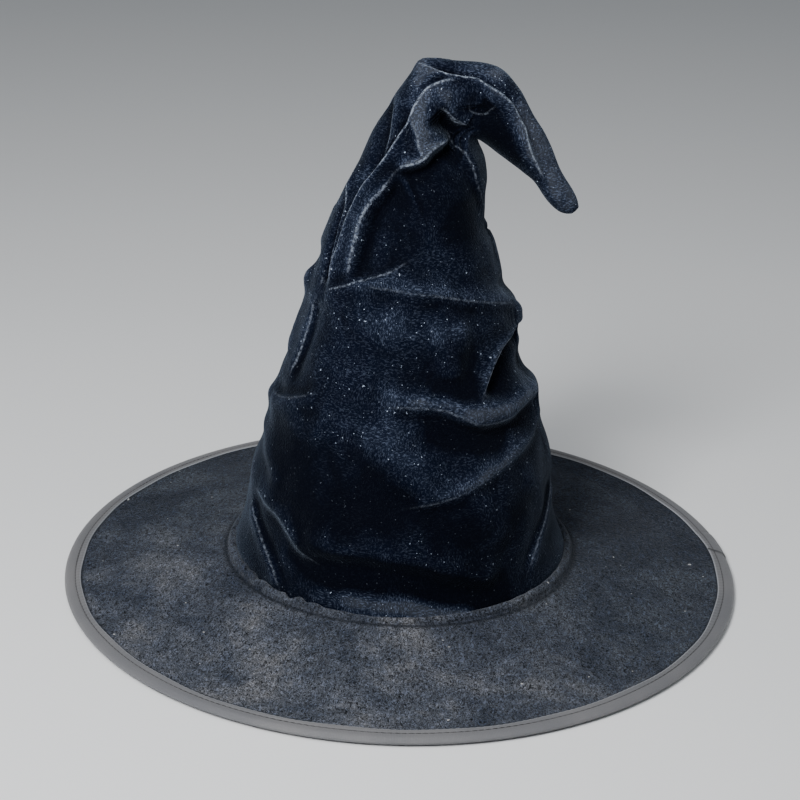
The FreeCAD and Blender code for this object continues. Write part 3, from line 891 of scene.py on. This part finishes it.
def ply_height(radius, lift=0.0):
    """Height of the brim's underside line at a radius, with a lift, in mm."""
    line = PLY_LINE[::-1]
    return np.interp(radius, [point[0] for point in line], [point[1] for point in line]) + lift


def brim_wave(angles, radius):
    """A gentle rise and fall of the cloth, none at the edge or at the crown."""
    across = smooth((190 - radius) / 30) * smooth((radius - 106) / 14)
    wave = 0.3 * np.sin(3 * angles + 0.6) + 0.2 * np.sin(5 * angles + 2.1) + 0.12 * np.sin(11 * angles)
    return across * (0.25 + wave)


def make_brim():
    """The brim's velvet, which turns up in a lip round the crown's foot, and the fabric of its underside."""
    velvet = brim_velvet_material()
    around = ring_angles(480)
    by_the_tape = [196, 193, 191, 190.4, 189.8, 189.0]
    flat = [(radius, ply_height(radius, PLIES)) for radius in by_the_tape + list(np.linspace(187.6, 110, 34))]
    lip = [
        (107.6, 12.1), (106.4, 12.2), (105.6, 12.2), (104.8, 12.3), (104.0, 13.0), (103.7, 14.4),
        (103.2, 16.0), (102.2, 17.2), (100.8, 17.6), (99.4, 17.0), (98.4, 15.8), (97.6, 14.2),
    ]
    section = np.array(flat + lip)
    radius = section[:, 0:1]
    # Painted shade in the crease at the lip's foot, and a painted contact shadow beside the tape's inner
    # edge.
    foot = bell((radius - 105.4) / 1.4) + bell((radius - TAPE_INNER + 0.4) / 0.5)

    def uneven(rows, angles):
        rows[..., 2] += brim_wave(angles[None, :], radius)
        turned = smooth((105 - radius) / 3)
        crumpled = 0.15 + 1.2 * bell((angles[None, :] - math.radians(228)) / 0.3)
        ripple = 0.5 * np.sin(9 * angles + 1) + 0.4 * np.sin(23 * angles) + 0.5 * np.sin(61 * angles + 2)
        rows[..., 2] += turned * (crumpled * ripple[None, :] - 2.4 * in_front(angles)[None, :])
        follow = smooth((122 - radius) / 16)
        out = turned * crumpled * np.sin(47 * angles)[None, :] - HEM_TUCK * follow * in_front(angles)[None, :]
        rows[..., 2] += ply_height(radius + out) - ply_height(radius) + 0.1 * follow
        clear_of_plies = np.maximum(rows[..., 2], ply_height(radius + out, PLIES) + 0.05)
        rows[..., 2] = np.where(follow > 0, clear_of_plies, rows[..., 2])
        rows[..., :2] *= (1 + out / 100)[..., None]
        return rows

    top = swept_ring("brim_top", section, velvet, around, change=uneven)
    paint(top, "foot", np.repeat(foot, len(around), axis=1).ravel())
    # Painted light and shade: the brim lighter at the front and darker towards the back and right.
    front_light_back_shade = bell((around - math.radians(245)) / math.radians(75))
    paint(top, "front_light_back_shade", np.tile(front_light_back_shade, len(section)))
    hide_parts("brim_top_velvet")
    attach(top, "hat")

    under_cloth = woven_material("under_fabric", (0.012, 0.012, 0.013), (0.03, 0.03, 0.032), 0.0011)
    section = [(radius, ply_height(radius)) for radius in np.linspace(99.8, 196, 30)]
    under = swept_ring("brim_underside", section, under_cloth, ring_angles(240))
    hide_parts("brim_under_fabric")
    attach(under, "hat")


def tape_section(thicker=0.0):
    """The folded tape: a soft roll at the rim, and a leg above and below the brim, dented at the stitches.
    The lap stands out by the mm given as thicker."""
    top = ply_height(196, PLIES) + TAPE_THICK + thicker
    foot = 0.3 - thicker
    return np.array([
        (TAPE_INNER, top - 0.55), (TAPE_INNER + 0.1, top - 0.12), (TAPE_INNER + 0.9, top + 0.12),
        (STITCH_ROW - 0.6, top + 0.04), (STITCH_ROW, top - 0.3), (STITCH_ROW + 0.6, top + 0.08),
        (195.7, top + 0.24), (197.4, top + 0.16), (198.8 + thicker, top - 0.3), (199.7 + thicker, top - 1.1),
        (200 + thicker, 3.1), (199.8 + thicker, 2.3), (199.0 + thicker, 1.5), (197.6, 0.9 - thicker),
        (196.0, foot + 0.2), (STITCH_ROW + 0.9, foot), (STITCH_ROW, foot + 0.2), (TAPE_INNER + 0.9, foot),
        (TAPE_INNER, foot + 0.4),
    ])[::-1]


def mark_tape(piece, section, count, cut_end=0):
    """Paints shade into the stitch line, a highlight along the fold at the inner edge, shade under the roll
    and, over the first cut_end columns, a shadow across the cut end of the tape."""
    radius, height = section[:, 0:1], section[:, 1:2]
    above = height > 3
    # Painted shade in the dent of the stitch line.
    painted_shade_lines = above * bell((radius - STITCH_ROW) / 0.3)
    # Painted highlight along the inner edge.
    fold = above * bell((radius - TAPE_INNER) / 0.4)
    shade = smooth((2.6 - height) / 2)
    # Painted shadow across the lap's cut end.
    end = (np.arange(count) < cut_end)[None, :]
    for name, values in (("painted_shade_lines", np.maximum(painted_shade_lines, end)), ("fold", fold), ("shade", shade)):
        paint(piece, name, values + np.zeros((1, count)))


def puckered(rows, angles):
    """Small drags in the tape at each stitch and slow changes in its width."""
    inner = smooth((196 - np.linalg.norm(rows[..., :2], axis=-1)) / 5)
    drag = 0.16 * np.sin(angles * 347)[None, :] * inner
    width = 0.35 * np.sin(angles * 9 + 1)[None, :] + 0.25 * np.sin(angles * 23)[None, :]
    rows[..., :2] *= (1 + inner * width / TAPE_MIDDLE)[..., None]
    rows[..., 2] = np.maximum(rows[..., 2] + drag * 0.6, 0)
    return rows


def slanted(rows, angles):
    """The lap's tape: its cut end leans over, and its other end sinks into the tape that it grows out of."""
    sinking, leaning = 0.03, 0.07
    sinks = smooth((angles - LAP_START - LAP_ANGLE + sinking) / sinking)[None, :, None]
    rows = puckered(rows + sinks * (ring_rows(tape_section(-0.1), angles) - rows), angles)
    lean = (TAPE_MIDDLE - np.linalg.norm(rows[..., :2], axis=-1)) * LAP_SLANT
    turn = lean * smooth((LAP_START + leaning - angles[None, :]) / leaning)
    x, y = rows[..., 0].copy(), rows[..., 1].copy()
    rows[..., 0] = x * np.cos(turn) - y * np.sin(turn)
    rows[..., 1] = x * np.sin(turn) + y * np.cos(turn)
    return rows


def make_edge():
    """The edge tape and its lap, and every row of stitches. Returns the thread's material."""
    satin = satin_material()
    thread = thread_material()
    turn = 2 * math.pi - LAP_ANGLE + UNDER_THE_LAP
    angles = LAP_START + LAP_ANGLE + np.linspace(0, turn, 1390)
    tape = swept_ring("edge_tape", tape_section(), satin, angles, closed=False, change=puckered)
    mark_tape(tape, tape_section(), len(angles))
    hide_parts("brim_edge_binding")
    lap_section = tape_section(LAP_THICK)
    lap_angles = LAP_START + np.linspace(-0.006, LAP_ANGLE + 0.012, 80)
    lap = swept_ring("edge_tape_lap", lap_section, satin, lap_angles, closed=False, change=slanted)
    mark_tape(lap, lap_section, len(lap_angles), cut_end=6)
    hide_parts("binding_lap_end")
    top = ply_height(STITCH_ROW, PLIES) + TAPE_THICK

    def on_the_tape(angle):
        return top - 0.1 + LAP_THICK * (LAP_START < angle < LAP_START + LAP_ANGLE - 0.01)

    stitches = stitch_row("edge_stitches", STITCH_ROW, on_the_tape, thread)
    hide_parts("binding_top_stitching")
    under = stitch_row("edge_stitches_under", STITCH_ROW, lambda angle: 0.45, thread)
    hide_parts("binding_under_stitching")
    slots = ("binding_satin", "binding_satin", "dark_thread", "dark_thread")
    for piece, slot in zip((tape, lap, stitches, under), slots):
        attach(piece, "hat")
    band_stitches = stitch_row("sweatband_stitches", 93.2, lambda angle: 9.62, thread, pitch=4.2, length=3.0)
    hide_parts("sweatband_stitching")
    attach(band_stitches, "hat")
    return thread


def make_opening():
    """The sweatband round the head opening and the blank label that hangs from its seam."""
    twill = woven_material("sweatband_twill", (0.02, 0.02, 0.023), (0.045, 0.045, 0.05), 0.0009, depth=0.0003)
    section = rounded([
        (BAND_RADIUS, 7.6), (BAND_RADIUS + 0.6, 7), (BAND_RADIUS + 1.2, 7.6), (BAND_RADIUS + 1.25, 20),
        (BAND_RADIUS + 1.1, 31.4), (BAND_RADIUS + 0.6, 32), (BAND_RADIUS, 31.4), (BAND_RADIUS - 0.05, 20),
    ], 36)

    def ripple(rows, angles):
        lift = smooth((rows[..., 2] - 10) / 20)
        rows[..., :2] *= (1 + lift * 0.5 * np.sin(angles * 13)[None, :] / 100)[..., None]
        return rows

    band = swept_ring("sweatband_tape", section, twill, ring_angles(200), change=ripple)
    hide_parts("sweatband")
    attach(band, "hat")

    white = woven_material("label_tape", (0.5, 0.5, 0.48), (0.7, 0.7, 0.67), 0.0007, depth=0.0001)
    path = [(97.2, 9.8), (97.2, 8.2), (98.0, 7.2), (100.5, 6.9), (106, 6.9), (112, 7.2), (116.6, 7.0)]
    line = rounded(path, 28, closed=False)
    half_width = 7
    across = np.linspace(-half_width, half_width, 13)
    x, y = np.meshgrid(across, line[:, 0])
    front = np.stack([x, y, line[:, 1:2] + 0 * x], axis=-1)
    loop = np.concatenate([front, (front + (0, 0.05, 0.28))[:, ::-1]], axis=1)
    label = grid_object("blank_label", loop, white)
    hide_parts("care_label")
    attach(label, "hat")


def dress_hidden_parts(thread):
    """Materials for the CAD nodes that stay."""
    finishes = {
        "brim_foam_stiffener": fibre_material("stiffener_foam", (0.4, 0.4, 0.38), (0.55, 0.55, 0.52), 500),
        "brim_edge_wire": wire_material("steel_wire", (0.5, 0.5, 0.5)),
        "wire_joiner_sleeve": wire_material("sleeve_steel", (0.55, 0.55, 0.56)),
        "base_seam_tape": woven_material("seam_tape", (0.03, 0.03, 0.03), (0.06, 0.06, 0.06), 0.0008),
        "crown_seam_thread": thread,
    }
    for name, material in finishes.items():
        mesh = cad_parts[name].data
        mesh.materials.clear()
        mesh.materials.append(material)


# ---- stage

def make_stage():
    """A pale floor, the studio's even light and three soft lamps."""
    paper = new_material("pale_floor", 0.9)
    paper.node_tree.nodes["Principled BSDF"].inputs["Base Color"].default_value = (0.8, 0.81, 0.82, 1)
    reach = 6
    corners = [(-reach, -reach, 0), (reach, -reach, 0), (reach, reach, 0), (-reach, reach, 0)]
    floor = add_piece("floor", corners, [(0, 1, 2, 3)], paper)

    world = bpy.data.worlds.new("studio")
    world.use_nodes = True
    background = world.node_tree.nodes["Background"]
    background.inputs["Color"].default_value = (0.9, 0.95, 1.0, 1)
    background.inputs["Strength"].default_value = 0.24
    bpy.context.scene.world = world
    add_light("overhead", (-0.4, -0.9, 2.8), 2.4, 30)
    add_light("key", (-0.42, -0.78, 0.9), 0.4, 16)
    add_light("side", (1.0, -0.3, 0.8), 0.7, 1.0)


def add_aimed(name, data, place, target):
    """A lamp or camera at a place, turned towards a target. Both are in metres."""
    thing = bpy.data.objects.new(name, data)
    thing.location = place
    thing.rotation_euler = (Vector(target) - Vector(place)).to_track_quat("-Z", "Y").to_euler()
    bpy.context.scene.collection.objects.link(thing)
    return thing


def add_light(name, place, size, power):
    """A square lamp that shines on the middle of the hat."""
    light = bpy.data.lights.new(name, "AREA")
    light.size = size
    light.energy = power
    add_aimed(name, light, place, (0, 0, 0.12))


def make_camera():
    """The camera at the photo's angle."""
    data = bpy.data.cameras.new("camera")
    data.lens = EYE_LENS
    data.sensor_width = 36
    camera = add_aimed("camera", data, eye_position() * MM, Vector(EYE_AIM) * MM)
    camera.rotation_euler.rotate_axis("Z", EYE_ROLL)
    bpy.context.scene.camera = camera


make_crown()
make_brim()
make_opening()
dress_hidden_parts(make_edge())
make_stage()
make_camera()
